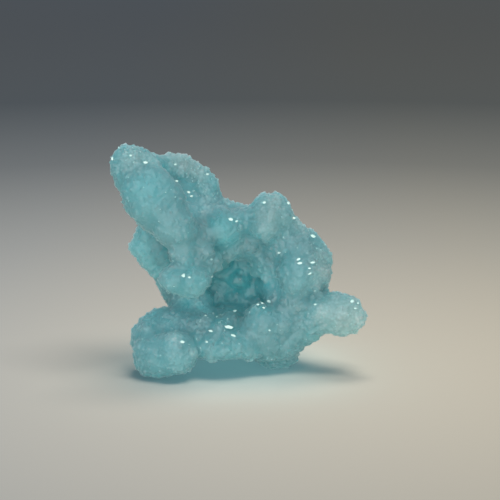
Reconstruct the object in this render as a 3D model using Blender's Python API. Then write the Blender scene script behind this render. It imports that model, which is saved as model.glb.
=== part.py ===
"""A free-standing smithsonite specimen about 40 mm wide: one piece of blue-green botryoidal crust.

Lengths below are millimetres until they reach the mesh. X runs to the right across the front,
Y runs from the front to the back, Z is up. The origin is on the ground under the specimen.
"""

import math

import bmesh
import bpy
import numpy as np
from mathutils import Euler, Matrix, Vector

MM = 0.001

# How finely the fused surface is kept.
BALL_DETAIL = 4
FUSE_CELL = 0.40
UNEVEN_SIZE = 2.4
UNEVEN_HEIGHT = 1.0
SMOOTH_PASSES = 4
KEEP_SHARE = 0.136

# The pebbles that stud every lump.
PEBBLE_SEED = 7
PEBBLE_SPACING = 2.1
PEBBLE_RADIUS = (0.75, 1.25)
PEBBLE_SUNK = 0.62

# Brings the middle of the finished outline over the origin.
TO_ORIGIN = (-0.4, -1.9, 0.0)

AQUA = (0.16, 0.44, 0.47, 1.0)

balls = []
bare_balls = []


def ball(centre, radii, lean=(0, 0, 0), bare=False):
    """One rounded lump. Its radii may differ, lean turns it about X, Y and Z, and a bare one has no pebbles."""
    if isinstance(radii, (int, float)):
        radii = (radii,) * 3
    turn = Euler([math.radians(angle) for angle in lean]).to_matrix().to_4x4()
    bare_balls.append(bare)
    balls.append(Matrix.Translation(centre) @ turn @ Matrix.Diagonal((*radii, 1)))


def lumps(*rows):
    """Round lumps, each given as x, y, z and radius."""
    for x, y, z, radius in rows:
        ball((x, y, z), radius)


def finger(start, end, start_radius, end_radius):
    """A row of overlapping lumps from start to end."""
    start, end = Vector(start), Vector(end)
    steps = max(2, math.ceil((end - start).length / (0.45 * min(start_radius, end_radius))))
    for step in range(steps + 1):
        share = step / steps
        ball(start.lerp(end, share), start_radius + (end_radius - start_radius) * share)


def horn():
    """The stout finger that leans out over the left front, broad and nearly smooth."""
    ball((-15.2, -3.2, 31.8), (3.8, 3.3, 4.8), (0, -36, 0), bare=True)
    ball((-12.7, -4.4, 28.0), (4.6, 3.5, 6.2), (6, -38, 0), bare=True)
    ball((-9.8, -5.0, 24.2), (3.3, 2.9, 4.8), (8, -34, 0), bare=True)
    lumps((-15.6, -1.6, 31.8, 3.3), (-12.4, -1.6, 27.8, 3.6), (-8.8, -2.0, 24.0, 3.2))


def bulge():
    """The knobbly lower end of the horn, with one large bulge that overhangs the hollow."""
    lumps((-8.3, -4.8, 19.8, 2.3), (-5.6, -4.0, 19.8, 2.0), (-4.0, -3.4, 18.0, 1.6), (-6.4, -3.4, 18.2, 2.5),
          (-6.0, -2.4, 21.6, 2.7))
    ball((-9.7, -5.9, 15.8), (2.4, 2.4, 2.2), bare=True)
    ball((-7.2, -6.4, 15.3), (2.8, 2.4, 2.4), bare=True)
    ball((-5.6, -5.2, 15.9), 1.9)
    ball((-8.0, -4.0, 16.4), (2.8, 2.6, 2.0))


def ridge():
    """The lower crest behind the horn, with a broad face that drops to the crevice between them."""
    lumps((-13.2, 0.0, 32.7, 2.0), (-10.9, 1.5, 32.0, 2.1), (-8.8, 2.0, 31.2, 2.5), (-6.5, 2.4, 30.1, 2.4),
          (-4.9, 2.4, 28.8, 2.2), (-4.4, 2.0, 26.6, 2.0), (-2.6, 1.6, 25.1, 2.0), (-0.4, 1.6, 24.6, 1.9))
    lumps((-11.4, 0.8, 29.2, 2.6), (-8.6, 1.0, 27.6, 2.8), (-6.4, 0.8, 25.4, 2.6), (-9.4, 3.4, 28.0, 3.0))


def wing():
    """The shaded lobe under the horn, with a knobbly edge."""
    lumps((-14.3, 2.0, 22.8, 1.5), (-14.4, 2.0, 20.9, 1.8), (-15.1, 2.0, 19.0, 1.7), (-14.4, 2.2, 17.5, 1.6),
          (-12.9, 2.5, 15.9, 1.6), (-11.3, 2.5, 13.9, 1.6))
    lumps((-12.4, 2.6, 22.0, 2.8), (-12.2, 2.8, 18.6, 2.8), (-10.2, 3.0, 15.0, 2.8), (-11.8, 2.0, 24.6, 2.6))


def col():
    """The saddle between the horn and the knob, with a rounded block on its front."""
    ball((-2.4, -1.4, 23.3), (3.3, 2.9, 3.0))
    lumps((-4.6, -0.8, 24.8, 1.9), (0.2, -0.4, 23.9, 2.4), (1.6, 1.0, 24.4, 2.0), (-2.0, 1.6, 22.8, 2.8))
    lumps((-0.9, 1.0, 19.6, 2.4), (-3.6, 0.2, 19.6, 2.4), (1.8, 1.0, 20.6, 2.6))
    ball((-2.8, 3.0, 17.2), 1.9)


def knob():
    """The round knob on the right of the saddle."""
    ball((5.1, -0.5, 24.5), (3.7, 3.5, 3.8), bare=True)
    lumps((4.4, -2.2, 23.5, 2.4), (2.8, 0.2, 22.8, 2.5), (5.8, 1.0, 22.0, 3.0), (6.6, -0.6, 22.4, 2.4))


def shoulder():
    """The broad mass at the right, with ribs that run into the hollow and a round lobe in front."""
    lumps((8.3, 0.5, 22.5, 1.8), (9.7, 0.5, 21.1, 2.1), (11.4, 0.8, 20.1, 2.0), (12.3, 0.6, 17.8, 2.4),
          (12.3, 0.6, 15.2, 2.2), (9.4, -0.8, 18.9, 3.0), (6.8, -0.4, 19.8, 2.6))
    ball((3.2, 0.8, 17.2), (1.4, 1.6, 2.6))
    ball((5.4, 0.0, 16.6), (1.7, 1.8, 2.8))
    ball((6.0, 1.2, 13.2), (2.0, 2.2, 3.0))
    ball((9.2, -2.4, 16.0), (3.3, 2.9, 4.2), bare=True)
    lumps((11.4, -1.0, 15.6, 2.9), (8.9, -1.2, 11.4, 3.0), (11.6, 0.2, 11.8, 2.6), (7.0, -0.4, 11.4, 2.6))


def arm():
    """The pale finger that points to the right."""
    lumps((12.6, -1.5, 9.6, 3.3), (15.6, -2.0, 9.7, 3.4), (17.2, -2.0, 9.0, 2.6), (14.0, -0.4, 9.4, 2.8),
          (15.4, -1.6, 8.6, 2.4))


def foot():
    """The left foot: a deep rounded body with a ball on its front."""
    ball((-12.4, -1.2, 4.7), (4.3, 4.6, 4.8))
    ball((-12.8, -4.2, 3.4), (3.4, 2.8, 3.7))
    ball((-9.4, -6.6, 4.5), (3.3, 3.0, 3.5), bare=True)
    ball((-10.8, -3.8, 4.2), (3.4, 3.2, 3.4))
    ball((-11.6, -5.4, 3.8), (3.3, 2.9, 3.6), bare=True)
    lumps((-11.8, -0.5, 7.3, 2.8), (-9.4, 0.0, 8.0, 2.5), (-8.6, -2.2, 7.0, 2.6), (-6.4, -3.4, 5.8, 2.2))


def ledge():
    """The low shelf between the foot and the mound, raised off the ground."""
    ball((-3.0, -4.0, 6.0), (2.9, 2.4, 2.6))
    lumps((-5.4, -2.4, 7.5, 2.3), (-7.4, -1.2, 7.9, 2.4), (-1.4, -1.6, 7.3, 2.3), (-5.2, 0.6, 7.6, 2.6),
          (-1.6, 1.0, 7.4, 2.6), (-6.2, -3.2, 5.6, 2.3))
    lumps((-6.2, -4.6, 5.1, 1.8), (-4.3, -5.3, 5.0, 1.9), (-2.2, -5.6, 5.1, 2.0), (-0.3, -5.2, 5.0, 1.9),
          (1.5, -4.6, 4.6, 1.9))
    finger((-6.0, 3.0, 7.0), (2.0, 3.0, 6.6), 3.0, 3.2)


def neck():
    """The narrow join between the foot and the mass above it, set well back."""
    lumps((-8.8, 2.4, 10.8, 2.2), (-6.6, 2.8, 10.4, 2.7), (-9.2, 4.4, 12.2, 3.0), (-6.8, 4.4, 14.4, 3.2),
          (-7.6, 1.6, 17.6, 2.7))


def mound():
    """The rounded mass right of the ledge, and the foot that it stands on."""
    ball((3.8, -3.0, 8.1), (3.3, 3.0, 3.3))
    lumps((6.4, -2.0, 8.4, 3.1), (8.6, -1.4, 7.8, 2.9), (1.9, -3.2, 5.8, 2.7), (4.6, -2.2, 5.0, 3.0),
          (7.2, -1.0, 5.4, 3.2), (11.0, -1.0, 7.4, 2.9), (5.2, 0.6, 3.2, 3.0), (6.4, 1.4, 3.0, 3.3),
          (3.6, 2.6, 4.6, 3.4), (8.4, 0.4, 5.6, 2.7))


def rear():
    """The wall that closes the hollow behind, and the knobbly back that carries it."""
    ball((0.2, 3.0, 13.6), 1.5, bare=True)
    lumps((-3.2, 5.0, 20.2, 3.4), (0.6, 4.8, 20.4, 3.4), (-3.0, 6.2, 15.6, 3.6), (1.6, 6.4, 15.8, 3.6),
          (-2.8, 6.2, 11.0, 3.6), (1.8, 6.4, 10.8, 3.6), (5.4, 4.8, 12.6, 3.4), (5.2, 4.4, 18.4, 3.6))
    lumps((-8.2, 5.2, 24.8, 3.2), (-9.8, 5.4, 20.2, 3.6), (-5.0, 7.8, 18.0, 3.6), (-6.6, 7.6, 12.6, 3.8),
          (-4.8, 5.0, 25.2, 3.0), (-0.6, 8.6, 17.6, 3.4), (3.4, 8.0, 18.6, 3.2), (-1.4, 9.0, 12.0, 4.0),
          (4.2, 9.0, 12.8, 3.6), (8.6, 4.2, 17.2, 3.6), (9.2, 4.4, 11.8, 3.6), (7.6, 6.6, 14.6, 3.2))
    lumps((-7.6, 4.4, 7.0, 4.0), (-3.8, 8.4, 6.4, 4.4), (-1.6, 8.6, 3.4, 3.8), (1.4, 9.0, 7.0, 4.2),
          (3.4, 7.6, 3.4, 3.8), (6.6, 5.6, 7.2, 4.0), (-5.4, 5.6, 3.8, 3.4), (6.4, 4.2, 4.0, 3.6))


def scatter_pebbles():
    """Small lumps on the outside of the large ones, no closer together than the spacing."""
    draw = np.random.default_rng(PEBBLE_SEED)
    large = np.array(balls)
    spots, inward = [], []
    for number, matrix in enumerate(large):
        if bare_balls[number]:
            continue
        size = np.linalg.norm(matrix[:3, :3], axis=0).mean()
        count = int(40 * (size / PEBBLE_SPACING) ** 2)
        around = draw.normal(size=(count, 3))
        around /= np.linalg.norm(around, axis=1)[:, None]
        found = around @ matrix[:3, :3].T + matrix[:3, 3]
        outside = np.ones(count, bool)
        for other, inverse in enumerate(np.linalg.inv(large)):
            if other != number:
                outside &= np.linalg.norm(found @ inverse[:3, :3].T + inverse[:3, 3], axis=1) > 0.98
        spots.append(found[outside])
        inward.append(matrix[:3, 3] - found[outside])
    spots, inward = np.concatenate(spots), np.concatenate(inward)
    inward /= np.linalg.norm(inward, axis=1)[:, None]
    kept = np.empty((0, 3))
    for spot, towards in zip(spots, inward):
        if len(kept) and np.linalg.norm(kept - spot, axis=1).min() < PEBBLE_SPACING:
            continue
        kept = np.vstack([kept, spot])
        radius = draw.uniform(*PEBBLE_RADIUS)
        ball(spot + towards * radius * PEBBLE_SUNK, radius)


def unit_ball():
    """Corners and faces of a ball of radius 1."""
    shell = bmesh.new()
    bmesh.ops.create_icosphere(shell, subdivisions=BALL_DETAIL, radius=1)
    corners = np.array([corner.co for corner in shell.verts])
    faces = np.array([[corner.index for corner in face.verts] for face in shell.faces])
    shell.free()
    return corners, faces


def fused_crust():
    """All lumps as one closed surface, thinned to the triangles that its shape needs."""
    corners, faces = unit_ball()
    points = [corners @ np.array(matrix)[:3, :3].T + np.array(matrix)[:3, 3] for matrix in balls]
    sides = [faces + number * len(corners) for number in range(len(balls))]
    mesh = bpy.data.meshes.new("smithsonite_crust")
    mesh.from_pydata(MM * (np.concatenate(points) + TO_ORIGIN), [], np.concatenate(sides))
    crust = bpy.data.objects.new("smithsonite_crust", mesh)
    bpy.context.scene.collection.objects.link(crust)

    fuse = crust.modifiers.new("fuse", "REMESH")
    fuse.mode = "VOXEL"
    fuse.voxel_size = FUSE_CELL * MM
    uneven = bpy.data.textures.new("unevenness", "CLOUDS")
    uneven.noise_scale = UNEVEN_SIZE * MM
    roughen = crust.modifiers.new("roughen", "DISPLACE")
    roughen.texture = uneven
    roughen.texture_coords = "LOCAL"
    roughen.strength = UNEVEN_HEIGHT * MM
    soften = crust.modifiers.new("soften", "SMOOTH")
    soften.factor = 0.5
    soften.iterations = SMOOTH_PASSES
    thin = crust.modifiers.new("thin", "DECIMATE")
    thin.ratio = KEEP_SHARE
    return crust


def rest_flat(crust):
    """Levels the feet by cutting away all that is below the ground plane."""
    depth = 10 * MM
    reach = 80 * MM
    mesh = bpy.data.meshes.new("ground_cutter")
    block = bmesh.new()
    bmesh.ops.create_cube(block, size=1, matrix=Matrix.Translation((0, 0, -depth / 2))
                          @ Matrix.Diagonal((reach, reach, depth, 1)))
    block.to_mesh(mesh)
    block.free()
    cutter = bpy.data.objects.new("ground_cutter", mesh)
    cutter.hide_render = True
    cutter.display_type = "WIRE"
    bpy.context.scene.collection.objects.link(cutter)
    level = crust.modifiers.new("level the feet", "BOOLEAN")
    level.operation = "DIFFERENCE"
    level.object = cutter


def smithsonite():
    """Translucent blue-green carbonate with a frosted skin."""
    material = bpy.data.materials.new("smithsonite")
    material.use_nodes = True
    shader = material.node_tree.nodes["Principled BSDF"]
    shader.inputs["Base Color"].default_value = AQUA
    shader.inputs["Roughness"].default_value = 0.4
    shader.inputs["Metallic"].default_value = 0.0
    return material


def main():
    for leftover in list(bpy.data.objects):
        bpy.data.objects.remove(leftover)
    for growth in (horn, bulge, ridge, wing, col, knob, shoulder, arm, foot, ledge, neck, mound, rear):
        growth()
    scatter_pebbles()
    crust = fused_crust()
    rest_flat(crust)
    crust.data.materials.append(smithsonite())


main()
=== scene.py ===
"""The looks of a botryoidal smithsonite specimen: a blue-green crust of tiny crystals on a pale floor.

Lengths are in millimetres, turned to metres with MM. The crust is shaped from the solid's own form,
and everything is placed in the solid's frame: X right, Y back, Z up, the floor at Z = 0.
"""

import math

import bpy
import numpy as np
from mathutils import Matrix, Vector
from mathutils.bvhtree import BVHTree


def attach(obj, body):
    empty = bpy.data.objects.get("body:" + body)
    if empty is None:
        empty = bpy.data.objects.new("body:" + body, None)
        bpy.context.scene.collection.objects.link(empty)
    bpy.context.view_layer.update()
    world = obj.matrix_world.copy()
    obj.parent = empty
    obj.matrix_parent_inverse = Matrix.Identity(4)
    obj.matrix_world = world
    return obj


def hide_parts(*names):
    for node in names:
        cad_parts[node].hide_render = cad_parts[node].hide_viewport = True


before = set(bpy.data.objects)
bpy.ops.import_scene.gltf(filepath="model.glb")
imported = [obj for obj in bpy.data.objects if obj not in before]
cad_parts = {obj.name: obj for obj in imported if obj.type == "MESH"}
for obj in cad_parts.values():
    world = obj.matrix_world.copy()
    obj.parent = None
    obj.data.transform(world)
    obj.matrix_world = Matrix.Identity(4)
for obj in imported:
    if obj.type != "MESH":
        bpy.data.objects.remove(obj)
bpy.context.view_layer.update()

MM = 0.001

# The camera stands level with the photograph's: a little above, square to the front.
CAMERA_TARGET = Vector((1.5, -1.9, 19.2)) * MM
CAMERA_DISTANCE = 300 * MM
CAMERA_RAISED = math.radians(12.0)
VIEW_WIDTH = 77.5 * MM
SENSOR_WIDTH = 36.0
TO_CAMERA = Vector((0, -math.cos(CAMERA_RAISED), math.sin(CAMERA_RAISED)))
CAMERA_UP = Vector((0, math.sin(CAMERA_RAISED), math.cos(CAMERA_RAISED)))
CAMERA_PLACE = CAMERA_TARGET + TO_CAMERA * CAMERA_DISTANCE

# Softboxes: place, width, power and colour. The key and the overhead one light the floor, and the key
# the bright faces too. The fills light the specimen only.
KEY = (Vector((115, -120, 430)) * MM, 220 * MM, 2.9, "#fff0da")
OVERHEAD = (Vector((25, 105, 430)) * MM, 170 * MM, 1.9, "#fff0da")
FRONT_FILL = (Vector((-60, -400, 150)) * MM, 400 * MM, 1.4, "#f6faff")
TOP_FILL = (Vector((60, -140, 420)) * MM, 400 * MM, 0.64, "#fff6ea")
LOW_FILL = (Vector((0, -300, -120)) * MM, 400 * MM, 0.75, "#fffaf0")
REAR_FILL = (Vector((-60, 400, 200)) * MM, 400 * MM, 0.3, "#f4faff")

# The teal light that the stone lets through to the floor: place, width, power, colour, and where it aims.
GLOW = (Vector((-1, -1, 10)) * MM, 28 * MM, 0.0034, "#a3f6ff")
GLOW_AIM = Vector((-1, -1, 0)) * MM

# The snoot that lifts the shade in the hollow: place, radius, power, colour, where it aims, and its cone.
SNOOT = (Vector((0, -290, 75)) * MM, 3 * MM, 0.035, "#c8fff6")
SNOOT_AIM = Vector((0.8, 0.0, 13.0)) * MM
SNOOT_CONE = math.radians(6.0)

AIR_COLOUR = "#dae5ee"
AIR_STRENGTH = 0.58

# The floor's tone falls from pale at the specimen to its darkest behind, and is a little paler again far
# away: distance in mm and colour. Painted light turns it from cool on the left to warm on the right.
FLOOR_RADIUS = 6000 * MM
FLOOR_REACH = 700 * MM
FLOOR_TONES = ((0, "#888a8a"), (100, "#707477"), (200, "#555a5f"), (320, "#464c52"), (700, "#66696c"))
LEFT_PAINTED_COOL_LIGHT = "#f5f9ff"
RIGHT_PAINTED_WARM_LIGHT = "#fffcf5"
PAINTED_LIGHT_REACH = 45 * MM

# A Mix node's two colour inputs and its colour output, by number, because their names repeat.
FIRST_COLOUR = 6
SECOND_COLOUR = 7
MIXED_COLOUR = 2

# The solid's form is drawn again on this grid and eased, and more so, by steps, where it is calm. The
# grown crust is fused on a finer grid.
BLANK_GRID = 0.24 * MM
BLANK_EASING = 8
CALM_EASING = 15
CALM_STEPS = (0.25, 0.5, 0.75, 1.0)
CRUST_GRID = 0.12 * MM
CRUST_TRIANGLES = 185000

# Domes: their size, their height, how far they are sunk, and the share left of them where it is calm.
BROAD_DOMES = (2.3 * MM, 0.22 * MM, 0.15 * MM, 0.4)
SMALL_DOMES = (0.95 * MM, 0.12 * MM, 0.08 * MM, 0.6)

# A dome ends at this squared distance from its middle, in cells. The cells wander by this much, by a
# noise with this many waves to the metre, which is one in about 4 mm.
DOME_END = 0.45
WANDER = 1.1 * MM
WANDER_WAVES = 260

# The crystal that the druse is grown from, about 1.2 across: its cube, steepness and rounded edge.
CUBE_SIZE = 0.8
CUBE_STEEPNESS = 1.1
CUBE_EDGE = 0.05

# The druse: how far its crystals stand apart, how they are scaled, how far they lean, the share that
# is sunk, the share left of their size where it is calm, and the random seed.
DRUSE_SPACING = 0.78 * MM
DRUSE_SIZES = (0.65 * MM, 1.20 * MM)
DRUSE_LEAN = math.radians(45)
DRUSE_SUNK = 0.34
DRUSE_CALM = 0.65
DRUSE_SEED = 11

# The crystal that bright faces are copied from, 1 across: its depth, and the share left of its width at
# its foot. A face's height is taken down by FACE_SQUASH.
FACE_DEPTH = 0.5
FACE_FOOT = 0.6
FACE_SQUASH = 0.8

# Bright faces set one by one: how far they are tilted at random, how far they are lifted, and their turn.
SET_TILT = 0.06
SET_LIFT = 0.12 * MM
SET_TURN = 0.5

# Bright faces strewn at random: places tried, their least height, the chance of one and how much a
# crowding spot adds to it, their lean, lift and sizes in mm, any turn in radians, and the random seed.
STREWN_TRIES = 5000
STREWN_FLOOR = 0.8 * MM
STREWN_CHANCE = 0.05
STREWN_CROWD = 0.75
STREWN_LEAN = 0.9
STREWN_LIFT = 0.04 * MM
STREWN_SIZES = (0.18, 0.36)
STREWN_TURN = 6.28
FACES_SEED = 5

# Smithsonite: how it bends light, and the colours of the bright faces and of the druse: from the deep teal
# painted into hollows and creases as their shade, through plain, to frost that is partly painted light on
# lit tops.
SMITHSONITE_IOR = 1.62
BRIGHT_FACE = "#7c9fa2"
# The deep teal is painted shade: saturated, its green and blue lifted against the darkness of hollows.
HOLLOW_SHADE_TEAL = "#419da3"
PLAIN_CRUST = "#528085"
FROSTED_AND_LIT_TOP_CRUST = "#adb8b4"

# The broad clouds in its colour, from least to most, and its sugary grain, from the middle of a grain
# to its rim. By EDGE_SHIFT a crease is painted a deeper teal for its shade yet lighter against its darkness,
# and an edge of a crystal paler yet darker against the light it catches.
CLOUD_SIZE = 3.5 * MM
CLOUD_SHIFT = (-0.05, 0.04)
GRAIN_SIZE = 0.45 * MM
GRAIN_DEPTH = 0.08 * MM
GRAIN_SHIFT = (0.05, -0.07)
GRAIN_RIM = 0.75
EDGE_SHIFT = 0.07

# The share left of grain and edges where the crust is calm, and how strongly they turn tips to frost and
# creases to the deep teal painted as their shade.
CALM_GRAIN = 0.55
TIP_FROST_AND_CREASE_SHADE = 1.3

# How far light runs in the stone, and the shares of that for red, green and blue.
LIGHT_PATH = 28.0 * MM
LIGHT_PATH_SHARES = (0.45, 1.0, 1.0)

# Where the crust is calmer, with crystals too small to stand out: centre in mm, reach in mm, strength.
CALM = ((-15.6, -7.2, 32.0, 6.0, 0.2), (-13.0, -8.8, 28.0, 9.0, 0.6), (-10.2, -9.2, 24.0, 6.0, 0.2),
        (-8.8, -9.6, 15.6, 3.4, 1.0), (4.7, -5.6, 24.2, 4.0, 1.0), (8.8, -7.0, 16.0, 4.6, 1.0),
        (-9.8, -11.0, 4.5, 4.2, 1.0), (15.2, -7.2, 9.5, 4.6, 1.0), (3.4, -7.8, 8.0, 3.8, 1.0),
        (-2.8, -6.2, 23.4, 3.4, 1.0), (-1.0, 0.8, 13.5, 6.0, 1.0))

# Where the crust's colour turns, much of it painted light and shade: centre in mm, reach in mm, frost
# (paler, partly painted light on lit tops; below 0 the deep teal painted into hollows as shade), and painted
# lightness (lifting shaded places, darkening lit tops).
TINTS_WITH_PAINTED_LIGHT = (
    # The arm and its root
    (16.5, -6.5, 9.5, 7.0, 0.50, -0.27), (18.5, -6.0, 10.0, 3.0, 0.20, 0.05),
    (12.3, -7.0, 10.5, 2.5, 0.18, 0.10), (9.2, -5.6, 9.3, 3.0, 0.10, 0.12),
    # The shoulder and its front lobe
    (13.0, -4.5, 17.0, 5.5, 0.35, -0.08), (9.2, -2.4, 23.0, 4.0, 0.30, -0.10),
    (9.5, -5.0, 20.6, 3.0, 0.05, -0.08), (7.9, -7.0, 16.8, 2.5, -0.10, -0.12),
    (11.3, -5.6, 14.8, 2.5, 0.05, 0.20),
    # The knob
    (4.8, -5.0, 25.5, 5.0, 0.30, -0.30), (5.5, -4.0, 28.0, 3.0, 0.25, -0.12),
    # The horn and its bulge
    (-16.0, -7.0, 34.0, 4.5, 0.30, -0.20), (-13.0, -6.0, 33.5, 2.5, 0.20, 0.25),
    (-14.2, -9.2, 30.5, 5.0, -0.20, -0.05), (-7.6, -8.5, 18.7, 2.5, 0.00, 0.20),
    (-8.5, -10.0, 15.8, 3.5, -0.30, -0.25),
    # The crest behind the horn
    (-9.0, -1.0, 33.0, 4.5, 0.45, -0.38), (-6.5, -1.3, 31.0, 3.5, 0.25, -0.15),
    (-8.0, -2.5, 29.5, 2.5, -0.35, 0.00),
    # The saddle
    (-7.5, -4.5, 26.5, 3.5, 0.05, 0.70), (-4.5, -2.5, 27.0, 3.5, 0.15, 0.30),
    (-0.8, -2.1, 26.0, 2.5, 0.10, 0.10), (-3.1, -6.1, 24.4, 3.0, -0.65, -0.30),
    (-1.5, -5.0, 20.5, 3.5, -0.50, 0.15),
    # The shaded wing
    (-12.0, -4.0, 17.0, 3.0, 0.00, 0.05),
    # The hollow and its rims
    (-0.5, 0.5, 13.5, 8.0, -1.05, -0.14), (-0.2, -0.1, 14.2, 2.2, 0.25, -0.20),
    (5.0, -3.0, 14.0, 3.5, 0.15, 0.65), (2.7, -1.5, 13.4, 3.0, 0.10, 0.50),
    (3.4, -3.0, 17.5, 3.0, -0.10, 0.00), (-7.5, -1.5, 10.8, 4.5, 0.15, 0.85),
    # The mound
    (3.3, -7.9, 8.7, 3.0, -0.10, -0.12), (3.3, -6.2, 11.0, 2.5, -0.40, -0.20),
    # The raised ledge and the base beside it
    (-5.5, -2.8, 9.5, 3.0, 0.10, 0.45), (-3.9, -5.5, 8.6, 2.5, -0.10, 0.20),
    (-1.5, -9.0, 5.5, 4.0, -0.10, -0.20), (4.3, -6.7, 3.7, 3.0, -0.10, -0.20),
    # The left foot and its front ball
    (-14.5, -6.0, 3.5, 4.0, 0.00, -0.10), (-10.5, -5.3, 8.6, 2.8, 0.20, 0.55),
    (-13.2, -5.0, 8.8, 2.5, 0.05, 0.15), (-9.8, -10.0, 7.8, 2.5, 0.25, 0.15),
    (-8.8, -10.9, 6.0, 2.5, 0.00, -0.12), (-7.0, -10.0, 5.0, 2.0, 0.20, 0.10),
)

# Where small bright faces crowd: centre in mm, reach in mm, strength.
SPARKLING = ((-8.5, -1.2, 32.5, 4.0, 0.8), (-5.5, -1.6, 29.5, 4.0, 1.0), (11.0, -4.0, 22.0, 4.5, 0.5),
             (-4.0, -5.0, 8.6, 4.0, 0.5), (4.5, -4.0, 12.5, 3.0, 0.4), (-16.5, -7.0, 35.0, 3.5, 0.6),
             (-10.5, -7.5, 30.0, 2.5, 0.5), (-2.0, -2.0, 26.0, 2.5, 0.4))

# Bright crystal faces set one by one: across and up from the camera's target, width and height, in mm.
BRIGHT = ((-3.3, -12.0, 1.5, 0.8), (-2.6, -13.3, 0.9, 0.5), (-6.1, -12.6, 0.8, 0.5), (-2.4, -9.5, 0.8, 0.5),
          (-6.9, -10.2, 0.4, 0.3), (-12.6, -11.4, 0.4, 0.3), (-11.4, -10.3, 0.5, 0.4),
          (-6.7, -14.3, 0.5, 0.4), (-10.5, -14.3, 0.8, 0.6), (-10.2, -4.0, 1.0, 0.8), (-9.4, -4.3, 0.5, 0.4),
          (-3.0, 4.7, 0.8, 0.7), (-2.1, 4.4, 0.5, 0.4), (7.5, -1.5, 0.8, 0.5), (7.7, -2.1, 0.9, 0.6),
          (9.7, -2.0, 0.9, 0.5), (9.2, -2.9, 0.5, 0.4), (9.2, -3.7, 0.8, 0.5), (4.6, -0.4, 0.9, 0.5),
          (9.7, 2.1, 1.0, 0.7),
          (11.0, 2.1, 0.5, 0.4), (6.7, 4.9, 0.8, 0.6), (5.9, 7.2, 0.5, 0.7), (2.2, 7.3, 0.6, 0.5),
          (2.9, -8.0, 0.7, 0.6), (1.9, -8.3, 0.5, 0.4), (1.2, -8.5, 0.5, 0.4), (2.1, -9.0, 0.5, 0.4),
          (10.0, -6.3, 0.5, 0.6), (15.8, -8.0, 0.7, 0.6), (16.7, -8.3, 0.5, 0.4), (16.3, -9.1, 0.5, 0.4),
          (10.1, -8.5, 0.5, 0.4), (3.0, -12.5, 0.4, 0.4), (-21.3, 14.1, 0.5, 0.9), (-16.2, 13.5, 0.8, 0.6),
          (-18.5, 14.6, 0.5, 0.4), (-11.6, 13.2, 0.5, 0.4), (-11.4, 10.6, 0.6, 0.5), (-9.5, 8.9, 0.6, 0.5),
          (-9.1, 8.3, 0.5, 0.4), (-6.6, 11.7, 0.5, 0.4), (-6.0, -1.5, 0.5, 0.4), (-1.6, -4.6, 0.4, 0.4))


# Tools

def linear(code):
    """An sRGB hex colour as linear red, green, blue and alpha."""
    parts = [int(code[start:start + 2], 16) / 255 for start in (1, 3, 5)]
    shares = [part / 12.92 if part <= 0.04045 else ((part + 0.055) / 1.055) ** 2.4 for part in parts]
    return shares + [1.0]


def only(piece, *others):
    """Selects the pieces and makes the first the active one."""
    bpy.ops.object.select_all(action="DESELECT")
    for selected in (piece, *others):
        selected.select_set(True)
    bpy.context.view_layer.objects.active = piece


def place_in_scene(name, content):
    """An object in the scene that holds this mesh, lamp or camera."""
    piece = bpy.data.objects.new(name, content)
    bpy.context.scene.collection.objects.link(piece)
    return piece


def add(tree, kind, settings=(), inputs=()):
    """A node with its settings. An input given a socket is linked to it, and any other is set."""
    made = tree.nodes.new(kind)
    for name, value in dict(settings).items():
        setattr(made, name, value)
    for key, value in dict(inputs).items():
        if isinstance(value, bpy.types.NodeSocket):
            tree.links.new(value, made.inputs[key])
        else:
            made.inputs[key].default_value = value
    return made


def finish_with(piece, kind, **settings):
    """Adds a modifier to the piece and applies it."""
    only(piece)
    modifier = piece.modifiers.new(kind.lower(), kind)
    for name, value in settings.items():
        setattr(modifier, name, value)
    bpy.ops.object.modifier_apply(modifier=modifier.name)


def empty_tree(name):
    """A geometry tree that takes a mesh and gives one back, and the socket of the mesh it takes."""
    tree = bpy.data.node_groups.new(name, "GeometryNodeTree")
    tree.interface.new_socket("Geometry", in_out="INPUT", socket_type="NodeSocketGeometry")
    tree.interface.new_socket("Geometry", in_out="OUTPUT", socket_type="NodeSocketGeometry")
    return tree, tree.nodes.new("NodeGroupInput").outputs[0]


def points_of(piece):
    """The places of the piece's points, one to a row, in metres."""
    places = np.empty(len(piece.data.vertices) * 3)
    piece.data.vertices.foreach_get("co", places)
    return places.reshape(-1, 3)


def mark(piece, name, spots):
    """Keeps on each point the sum of the soft round spots that reach it."""
    places = points_of(piece) / MM
    total = np.zeros(len(places))
    for x, y, z, reach, strength in spots:
        near = np.clip(1 - np.linalg.norm(places - (x, y, z), axis=1) / reach, 0, 1)
        total += strength * near * near * (3 - 2 * near)
    total = np.clip(total, -1, 1)
    if name not in piece.data.attributes:
        piece.data.attributes.new(name, "FLOAT", "POINT")
    piece.data.attributes[name].data.foreach_set("value", total)


def triangles(piece):
    """How many triangles the piece comes to."""
    return sum(len(face.vertices) - 2 for face in piece.data.polygons)


# The crust's own form

def crust_blank():
    """A finer skin on the solid's form, its facets eased away."""
    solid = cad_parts["smithsonite_crust"]
    blank = place_in_scene("blank", solid.data.copy())
    only(blank)
    bpy.ops.object.mode_set(mode="EDIT")
    bpy.ops.mesh.select_all(action="SELECT")
    bpy.ops.mesh.remove_doubles(threshold=0.001 * MM)
    bpy.ops.object.mode_set(mode="OBJECT")
    finish_with(blank, "REMESH", mode="VOXEL", voxel_size=BLANK_GRID)
    finish_with(blank, "SMOOTH", factor=0.5, iterations=BLANK_EASING)
    return blank


def ease_calm(blank):
    """Smooths the blank where it is calm, so that only fine crystals are left there."""
    values = np.empty(len(blank.data.vertices))
    blank.data.attributes["calm"].data.foreach_get("value", values)
    group = blank.vertex_groups.new(name="calm_reach")
    half_step = CALM_STEPS[0] / 2
    for weight in CALM_STEPS:
        group.add(np.flatnonzero(values > weight - half_step).tolist(), weight, "REPLACE")
    finish_with(blank, "SMOOTH", factor=0.5, iterations=CALM_EASING, vertex_group="calm_reach")


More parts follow.
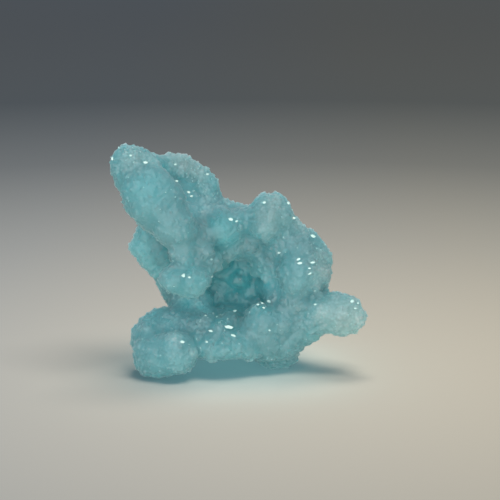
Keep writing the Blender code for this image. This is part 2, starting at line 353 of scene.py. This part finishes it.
def lively(tree, least):
    """1 where the crust isn't calm, down to the least value where it is."""
    calm = add(tree, "GeometryNodeInputNamedAttribute", {"data_type": "FLOAT"}, {"Name": "calm"}).outputs[0]
    return add(tree, "ShaderNodeMapRange", {}, {"Value": calm, "To Min": 1.0, "To Max": least}).outputs[0]


def grow_botryoids(blank, size, height, sunk, least):
    """Raises round domes of about this size all over the blank, with creases between them."""
    tree, mesh = empty_tree("botryoids")
    place = add(tree, "GeometryNodeInputPosition").outputs[0]
    noise = add(tree, "ShaderNodeTexNoise", {}, {"Vector": place, "Scale": WANDER_WAVES, "Detail": 1.0})
    shift = add(tree, "ShaderNodeVectorMath", {"operation": "SCALE"},
                {0: noise.outputs["Color"], "Scale": WANDER}).outputs[0]
    spot = add(tree, "ShaderNodeVectorMath", {"operation": "ADD"}, {0: place, 1: shift}).outputs[0]
    cells = add(tree, "ShaderNodeTexVoronoi", {"feature": "F1"}, {"Vector": spot, "Scale": 1 / size})
    away = cells.outputs["Distance"]
    squared = add(tree, "ShaderNodeMath", {"operation": "MULTIPLY"}, {0: away, 1: away}).outputs[0]
    dome = add(tree, "ShaderNodeMapRange", {}, {"Value": squared, "From Min": 0.0, "From Max": DOME_END,
                                               "To Min": height - sunk, "To Max": -sunk}).outputs[0]
    part = add(tree, "ShaderNodeMath", {"operation": "MULTIPLY"},
               {0: dome, 1: lively(tree, least)}).outputs[0]
    normal = add(tree, "GeometryNodeInputNormal").outputs[0]
    lift = add(tree, "ShaderNodeVectorMath", {"operation": "SCALE"}, {0: normal, "Scale": part}).outputs[0]
    moved = add(tree, "GeometryNodeSetPosition", {}, {"Geometry": mesh, "Offset": lift}).outputs[0]
    add(tree, "NodeGroupOutput", {}, {0: moved})
    finish_with(blank, "NODES", node_group=tree)


def druse_crystal():
    """One blunt rhombohedral crystal, standing on its corner, its edges rounded off."""
    bpy.ops.object.select_all(action="DESELECT")
    bpy.ops.mesh.primitive_cube_add(size=CUBE_SIZE)
    crystal = bpy.context.object
    crystal.name = "druse_crystal"
    bpy.ops.object.mode_set(mode="EDIT")
    bpy.ops.mesh.select_all(action="SELECT")
    bpy.ops.mesh.bevel(offset=CUBE_EDGE, segments=1, affect="EDGES")
    bpy.ops.object.mode_set(mode="OBJECT")
    upright = Vector((1, 1, 1)).rotation_difference(Vector((0, 0, 1))).to_matrix().to_4x4()
    crystal.data.transform(Matrix.Diagonal((1, 1, CUBE_STEEPNESS, 1)) @ upright)
    return crystal


def grow_druse(ground, crystal):
    """Crystals that stand on the ground piece, as one mesh with every copy made real."""
    tree, mesh = empty_tree("druse")
    lean = DRUSE_LEAN
    points = add(tree, "GeometryNodeDistributePointsOnFaces", {"distribute_method": "POISSON"},
                 {"Mesh": mesh, "Distance Min": DRUSE_SPACING, "Density Max": 3 / DRUSE_SPACING ** 2,
                  "Seed": DRUSE_SEED})
    tilt = add(tree, "FunctionNodeRandomValue", {"data_type": "FLOAT_VECTOR"},
               {"Min": (-lean, -lean, -math.pi), "Max": (lean, lean, math.pi),
                "Seed": DRUSE_SEED + 1}).outputs[0]
    turn = add(tree, "FunctionNodeRotateRotation", {"rotation_space": "LOCAL"},
               {"Rotation": points.outputs["Rotation"], "Rotate By": tilt}).outputs[0]
    any_size = add(tree, "FunctionNodeRandomValue", {"data_type": "FLOAT"},
                   {2: DRUSE_SIZES[0], 3: DRUSE_SIZES[1], "Seed": DRUSE_SEED + 2}).outputs[1]
    size = add(tree, "ShaderNodeMath", {"operation": "MULTIPLY"},
               {0: any_size, 1: lively(tree, DRUSE_CALM)}).outputs[0]
    depth = add(tree, "ShaderNodeMath", {"operation": "MULTIPLY"}, {0: size, 1: -DRUSE_SUNK}).outputs[0]
    down = add(tree, "ShaderNodeVectorMath", {"operation": "SCALE"},
               {0: points.outputs["Normal"], "Scale": depth}).outputs[0]
    one = add(tree, "GeometryNodeObjectInfo", {}, {"Object": crystal}).outputs["Geometry"]
    copies = add(tree, "GeometryNodeInstanceOnPoints", {},
                 {"Points": points.outputs["Points"], "Instance": one, "Rotation": turn,
                  "Scale": size}).outputs[0]
    sunken = add(tree, "GeometryNodeTranslateInstances", {},
                 {"Instances": copies, "Translation": down, "Local Space": False}).outputs[0]
    real = add(tree, "GeometryNodeRealizeInstances", {}, {0: sunken}).outputs[0]
    add(tree, "NodeGroupOutput", {}, {0: real})
    grown = place_in_scene("druse", ground.data.copy())
    finish_with(grown, "NODES", node_group=tree)
    return grown


def set_on_floor(piece):
    """Presses whatever reaches below the floor flat onto it."""
    places = points_of(piece)
    places[:, 2] = np.maximum(places[:, 2], 0.0)
    piece.data.vertices.foreach_set("co", places.ravel())
    piece.data.update()


def make_crust():
    """The whole crust: domes and a druse grown on the blank, fused into one skin, with its markings."""
    crust = crust_blank()
    mark(crust, "calm", CALM)
    ease_calm(crust)
    grow_botryoids(crust, *BROAD_DOMES)
    grow_botryoids(crust, *SMALL_DOMES)
    crystal = druse_crystal()
    druse = grow_druse(crust, crystal)
    only(crust, druse)
    bpy.ops.object.join()
    finish_with(crust, "REMESH", mode="VOXEL", voxel_size=CRUST_GRID)
    finish_with(crust, "SMOOTH", factor=0.5, iterations=1)
    finish_with(crust, "DECIMATE", ratio=min(1.0, CRUST_TRIANGLES / triangles(crust)))
    set_on_floor(crust)
    mark(crust, "calm", CALM)
    # The frost mark is partly painted light and, below 0, painted shade; the lightness mark is painted light
    # and shade.
    mark(crust, "frost", [(x, y, z, reach, frost) for x, y, z, reach, frost, light in TINTS_WITH_PAINTED_LIGHT])
    mark(crust, "lightness", [(x, y, z, reach, light) for x, y, z, reach, frost, light in TINTS_WITH_PAINTED_LIGHT])
    bpy.data.objects.remove(crystal)
    crust.name = "crystal_crust"
    crust.data.name = "crystal_crust"
    crust.data.polygons.foreach_set("use_smooth", [True] * len(crust.data.polygons))
    return crust


# Bright faces

def flat_crystal():
    """One flat five-sided crystal face about 1 across, its sides drawn in towards the crust."""
    bpy.ops.object.select_all(action="DESELECT")
    middle = -FACE_DEPTH / 2
    bpy.ops.mesh.primitive_cylinder_add(vertices=5, radius=0.5, depth=FACE_DEPTH, location=(0, 0, middle))
    crystal = bpy.context.object
    bpy.ops.object.transform_apply(location=True)
    bpy.ops.object.mode_set(mode="EDIT")
    bpy.ops.mesh.select_all(action="DESELECT")
    bpy.ops.mesh.select_mode(type="VERT")
    bpy.ops.object.mode_set(mode="OBJECT")
    for point in crystal.data.vertices:
        point.select = point.co.z < middle
    bpy.ops.object.mode_set(mode="EDIT")
    bpy.ops.transform.resize(value=(FACE_FOOT, FACE_FOOT, 1.0), center_override=(0, 0, 0))
    bpy.ops.object.mode_set(mode="OBJECT")
    return crystal


def set_crystals(name, crystal, places):
    """Copies of one crystal as one mesh, each at its point, with its facing, width, height and turn."""
    shape = np.array([tuple(point.co) for point in crystal.data.vertices])
    faces = [tuple(face.vertices) for face in crystal.data.polygons]
    points = []
    polygons = []
    for point, facing, width, height, turn in places:
        basis = facing.to_track_quat("Z", "Y").to_matrix() @ Matrix.Rotation(turn, 3, "Z")
        stretched = shape * (width, height, min(width, height))
        start = len(points)
        points += [tuple(point + basis @ Vector(corner)) for corner in stretched]
        polygons += [tuple(start + index for index in face) for face in faces]
    mesh = bpy.data.meshes.new(name)
    mesh.from_pydata(points, [], polygons)
    mesh.update()
    return place_in_scene(name, mesh)


def set_by_hand(crust, chance):
    """Where the larger faces go, turned so that each flashes the key light at the camera."""
    skin = BVHTree.FromObject(crust, bpy.context.evaluated_depsgraph_get())
    catching = (TO_CAMERA + (KEY[0] - CAMERA_TARGET).normalized()).normalized()
    places = []
    for across, high, width, height in BRIGHT:
        aim = CAMERA_TARGET + Vector((across * MM, 0, 0)) + CAMERA_UP * high * MM
        hit = skin.ray_cast(CAMERA_PLACE, (aim - CAMERA_PLACE).normalized())[0]
        if hit:
            facing = (catching + Vector(chance.uniform(-SET_TILT, SET_TILT, 3))).normalized()
            places.append((hit + catching * SET_LIFT, facing, width * MM, height * MM * FACE_SQUASH,
                           chance.uniform(-SET_TURN, SET_TURN)))
    return places


def strewn(crust, chance):
    """Where the small faces go: a thin scatter all over, closer where the crust sparkles."""
    mark(crust, "sparkle", SPARKLING)
    sparkle = crust.data.attributes["sparkle"].data
    places = []
    for index in chance.choice(len(crust.data.polygons), STREWN_TRIES, replace=False):
        face = crust.data.polygons[int(index)]
        crowd = sparkle[face.vertices[0]].value
        if face.center.z < STREWN_FLOOR or chance.uniform() > STREWN_CHANCE + STREWN_CROWD * crowd:
            continue
        lean = Vector(chance.uniform(-STREWN_LEAN, STREWN_LEAN, 3))
        facing = (face.normal + lean).normalized()
        size = chance.uniform(*STREWN_SIZES) * MM
        places.append((face.center + face.normal * STREWN_LIFT, facing, size, size * FACE_SQUASH,
                       chance.uniform(0, STREWN_TURN)))
    return places


def make_bright_faces(crust):
    """Larger crystal faces that catch the key light, and a thin scatter of small ones all over."""
    crystal = flat_crystal()
    chance = np.random.default_rng(FACES_SEED)
    places = set_by_hand(crust, chance)
    places += strewn(crust, chance)
    piece = set_crystals("bright_crystal_faces", crystal, places)
    bpy.data.objects.remove(crystal)
    return piece


# Materials

def bright_smithsonite():
    """Clean smithsonite crystal faces, grown flat and unworn, so that they flash where they face a light."""
    material = bpy.data.materials.new("bright_crystal_face")
    material.use_nodes = True
    shader = material.node_tree.nodes["Principled BSDF"]
    shader.inputs["Base Color"].default_value = linear(BRIGHT_FACE)
    shader.inputs["Specular IOR Level"].default_value = 0.3
    shader.inputs["Roughness"].default_value = 0.42
    shader.inputs["IOR"].default_value = SMITHSONITE_IOR
    return material


def smithsonite():
    """Smithsonite, grown as a druse of tiny crystals: waxy, translucent blue-green, frosted on its tips,
    with painted light and shade in its colour.
    """
    material = bpy.data.materials.new("botryoidal_smithsonite")
    material.use_nodes = True
    tree = material.node_tree
    shader = tree.nodes["Principled BSDF"]
    place = add(tree, "ShaderNodeTexCoord").outputs["Object"]
    # The frost mark, partly painted light, and below 0 the deep teal painted as shade; the lightness mark,
    # painted light and shade.
    frost = add(tree, "ShaderNodeAttribute", {"attribute_name": "frost"}).outputs["Fac"]
    lightness = add(tree, "ShaderNodeAttribute", {"attribute_name": "lightness"}).outputs["Fac"]
    broad = add(tree, "ShaderNodeTexNoise", {}, {"Vector": place, "Scale": 1 / CLOUD_SIZE, "Detail": 2.0})
    cloud = add(tree, "ShaderNodeMapRange", {},
                {"Value": broad.outputs[0], "From Min": 0.3, "From Max": 0.7,
                 "To Min": CLOUD_SHIFT[0], "To Max": CLOUD_SHIFT[1]}).outputs[0]
    cells = add(tree, "ShaderNodeTexVoronoi", {"feature": "F1"}, {"Vector": place, "Scale": 1 / GRAIN_SIZE})
    calm = add(tree, "ShaderNodeAttribute", {"attribute_name": "calm"}).outputs["Fac"]
    unrest = add(tree, "ShaderNodeMapRange", {}, {"Value": calm, "To Min": 1.0, "To Max": CALM_GRAIN})
    grain = add(tree, "ShaderNodeMapRange", {},
                {"Value": cells.outputs[0], "From Min": 0.0, "From Max": GRAIN_RIM,
                 "To Min": GRAIN_SHIFT[0], "To Max": GRAIN_SHIFT[1]}).outputs[0]
    bend = add(tree, "ShaderNodeNewGeometry").outputs["Pointiness"]
    # Creases and crystal edges, from how sharply the crust bends, carry painted shade and light.
    edge = add(tree, "ShaderNodeMapRange", {}, {"Value": bend, "From Min": 0.42, "From Max": 0.60,
                                               "To Min": -EDGE_SHIFT, "To Max": EDGE_SHIFT}).outputs[0]
    fine = add(tree, "ShaderNodeMath", {"operation": "ADD"}, {0: grain, 1: edge}).outputs[0]
    fine = add(tree, "ShaderNodeMath", {"operation": "MULTIPLY"}, {0: fine, 1: unrest.outputs[0]}).outputs[0]
    tips = add(tree, "ShaderNodeMath", {"operation": "MULTIPLY"}, {0: fine, 1: TIP_FROST_AND_CREASE_SHADE}).outputs[0]
    total = add(tree, "ShaderNodeMath", {"operation": "ADD"}, {0: frost, 1: cloud}).outputs[0]
    total = add(tree, "ShaderNodeMath", {"operation": "ADD"}, {0: total, 1: tips}).outputs[0]
    share = add(tree, "ShaderNodeMapRange", {}, {"Value": total, "From Min": -1.0, "From Max": 1.0})
    # From the deep teal painted into hollows and creases as shade, through plain crust, to frost.
    shade = add(tree, "ShaderNodeValToRGB", {}, {0: share.outputs[0]})
    shade.color_ramp.elements[0].color = linear(HOLLOW_SHADE_TEAL)
    shade.color_ramp.elements[1].color = linear(FROSTED_AND_LIT_TOP_CRUST)
    shade.color_ramp.elements.new(0.5).color = linear(PLAIN_CRUST)
    # Painted light and shade: shaded places and creases lighter, lit tops and crystal edges darker.
    light = add(tree, "ShaderNodeMath", {"operation": "ADD"}, {0: grain, 1: lightness}).outputs[0]
    light = add(tree, "ShaderNodeMath", {"operation": "SUBTRACT"}, {0: light, 1: edge}).outputs[0]
    light = add(tree, "ShaderNodeMath", {"operation": "ADD"}, {0: light, 1: 1.0}).outputs[0]
    colour = add(tree, "ShaderNodeHueSaturation", {}, {"Value": light, "Color": shade.outputs[0]}).outputs[0]
    tree.links.new(colour, shader.inputs["Base Color"])
    shader.inputs["Roughness"].default_value = 0.5
    shader.inputs["IOR"].default_value = SMITHSONITE_IOR
    shader.inputs["Subsurface Weight"].default_value = 1.0
    shader.inputs["Subsurface Radius"].default_value = LIGHT_PATH_SHARES
    shader.inputs["Subsurface Scale"].default_value = LIGHT_PATH
    shader.inputs["Sheen Weight"].default_value = 0.15
    shader.inputs["Sheen Roughness"].default_value = 0.5
    bump = add(tree, "ShaderNodeBump", {"invert": True},
               {"Height": cells.outputs[0], "Strength": 0.5, "Distance": GRAIN_DEPTH}).outputs[0]
    tree.links.new(bump, shader.inputs["Normal"])
    return material


def pale_sheet():
    """Pale matt card with no shine, its tone dark grey far behind, with painted cool light on the left and
    warm light on the right.
    """
    material = bpy.data.materials.new("pale_sheet")
    material.use_nodes = True
    tree = material.node_tree
    place = add(tree, "ShaderNodeTexCoord").outputs["Object"]
    away = add(tree, "ShaderNodeVectorMath", {"operation": "LENGTH"}, {0: place}).outputs[1]
    reach = add(tree, "ShaderNodeMapRange", {}, {"Value": away, "From Min": 0.0, "From Max": FLOOR_REACH})
    shade = add(tree, "ShaderNodeValToRGB", {}, {0: reach.outputs[0]})
    shade.color_ramp.elements[0].color = linear(FLOOR_TONES[0][1])
    shade.color_ramp.elements[1].color = linear(FLOOR_TONES[-1][1])
    for distance, code in FLOOR_TONES[1:-1]:
        shade.color_ramp.elements.new(distance * MM / FLOOR_REACH).color = linear(code)
    # Painted light: cool on the left, warm on the right, multiplied into the tone.
    across = add(tree, "ShaderNodeSeparateXYZ", {}, {0: place}).outputs[0]
    side = add(tree, "ShaderNodeMapRange", {}, {"Value": across, "From Min": -PAINTED_LIGHT_REACH,
                                               "From Max": PAINTED_LIGHT_REACH}).outputs[0]
    cast = add(tree, "ShaderNodeMix", {"data_type": "RGBA"},
               {"Factor": side, FIRST_COLOUR: linear(LEFT_PAINTED_COOL_LIGHT), SECOND_COLOUR: linear(RIGHT_PAINTED_WARM_LIGHT)})
    both = add(tree, "ShaderNodeMix", {"data_type": "RGBA", "blend_type": "MULTIPLY"},
               {"Factor": 1.0, FIRST_COLOUR: shade.outputs[0], SECOND_COLOUR: cast.outputs[MIXED_COLOUR]})
    shader = tree.nodes["Principled BSDF"]
    tree.links.new(both.outputs[MIXED_COLOUR], shader.inputs["Base Color"])
    shader.inputs["Roughness"].default_value = 0.90
    shader.inputs["Specular IOR Level"].default_value = 0.0
    return material


# The studio

def floor():
    """The sheet that the specimen stands on, wide enough to fill the view."""
    bpy.ops.object.select_all(action="DESELECT")
    bpy.ops.mesh.primitive_circle_add(vertices=96, radius=FLOOR_RADIUS, fill_type="NGON")
    sheet = bpy.context.object
    sheet.name = "floor"
    sheet.data.materials.append(pale_sheet())
    return sheet


def group_of(name, pieces):
    """A collection that holds the pieces, for a lamp to name."""
    group = bpy.data.collections.new(name)
    for piece in pieces:
        group.objects.link(piece)
    return group


def hang(lamp, place, power, colour, lit, aim):
    """Hangs the lamp up to light only the pieces named, as flags would keep it off the others."""
    lamp.energy = power
    lamp.color = linear(colour)[:3]
    holder = place_in_scene(lamp.name, lamp)
    holder.location = place
    holder.rotation_euler = (aim - place).to_track_quat("-Z", "Y").to_euler()
    holder.light_linking.receiver_collection = group_of(lamp.name + "_reach", lit)
    return holder


def softbox(name, place, size, power, colour, lit, aim=CAMERA_TARGET):
    """A square lamp with an even face."""
    lamp = bpy.data.lights.new(name, "AREA")
    lamp.shape = "SQUARE"
    lamp.size = size
    return hang(lamp, place, power, colour, lit, aim)


def snoot(name, place, size, power, colour, lit, aim, cone):
    """A narrow lamp, with a soft rim to its spot."""
    lamp = bpy.data.lights.new(name, "SPOT")
    lamp.shadow_soft_size = size
    lamp.spot_size = cone
    lamp.spot_blend = 1.0
    return hang(lamp, place, power, colour, lit, aim)


def let_past(lamp, blockers):
    """Only the pieces named cast a shadow from this lamp."""
    lamp.light_linking.blocker_collection = group_of(lamp.name + "_blockers", blockers)


def hang_lamps(crust, bright, sheet):
    """The air's even light and the lamps. The low one passes the floor, and the glow passes the crust."""
    air = bpy.data.worlds.new("studio_air")
    bpy.context.scene.world = air
    air.use_nodes = True
    air.node_tree.nodes["Background"].inputs["Color"].default_value = linear(AIR_COLOUR)
    air.node_tree.nodes["Background"].inputs["Strength"].default_value = AIR_STRENGTH
    softbox("key_softbox", *KEY, (sheet, bright))
    softbox("overhead_softbox", *OVERHEAD, (sheet,))
    softbox("front_softbox", *FRONT_FILL, (crust, bright))
    softbox("top_softbox", *TOP_FILL, (crust, bright))
    low = softbox("low_softbox", *LOW_FILL, (crust, bright))
    let_past(low, (crust, bright))
    glow = softbox("light_through_stone", *GLOW, (sheet,), GLOW_AIM)
    let_past(glow, (sheet,))
    glow.visible_glossy = False
    softbox("rear_softbox", *REAR_FILL, (crust, bright))
    snoot("hollow_snoot", *SNOOT, (crust,), SNOOT_AIM, SNOOT_CONE)


def stand_camera():
    """The camera, looking at the middle of the specimen."""
    lens = bpy.data.cameras.new("camera")
    lens.sensor_width = SENSOR_WIDTH
    lens.lens = SENSOR_WIDTH * CAMERA_DISTANCE / VIEW_WIDTH
    lens.clip_start = 10 * MM
    lens.clip_end = 20000 * MM
    camera = place_in_scene("camera", lens)
    camera.location = CAMERA_PLACE
    camera.rotation_euler = (-TO_CAMERA).to_track_quat("-Z", "Y").to_euler()
    bpy.context.scene.camera = camera
    bpy.context.scene.view_settings.view_transform = "Standard"


crust = make_crust()
print("crystal_crust", triangles(crust), "triangles")
crust.data.materials.clear()
crust.data.materials.append(smithsonite())
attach(crust, "root")
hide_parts("smithsonite_crust")
bright = make_bright_faces(crust)
bright.data.materials.append(bright_smithsonite())
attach(bright, "root")
hang_lamps(crust, bright, floor())
stand_camera()
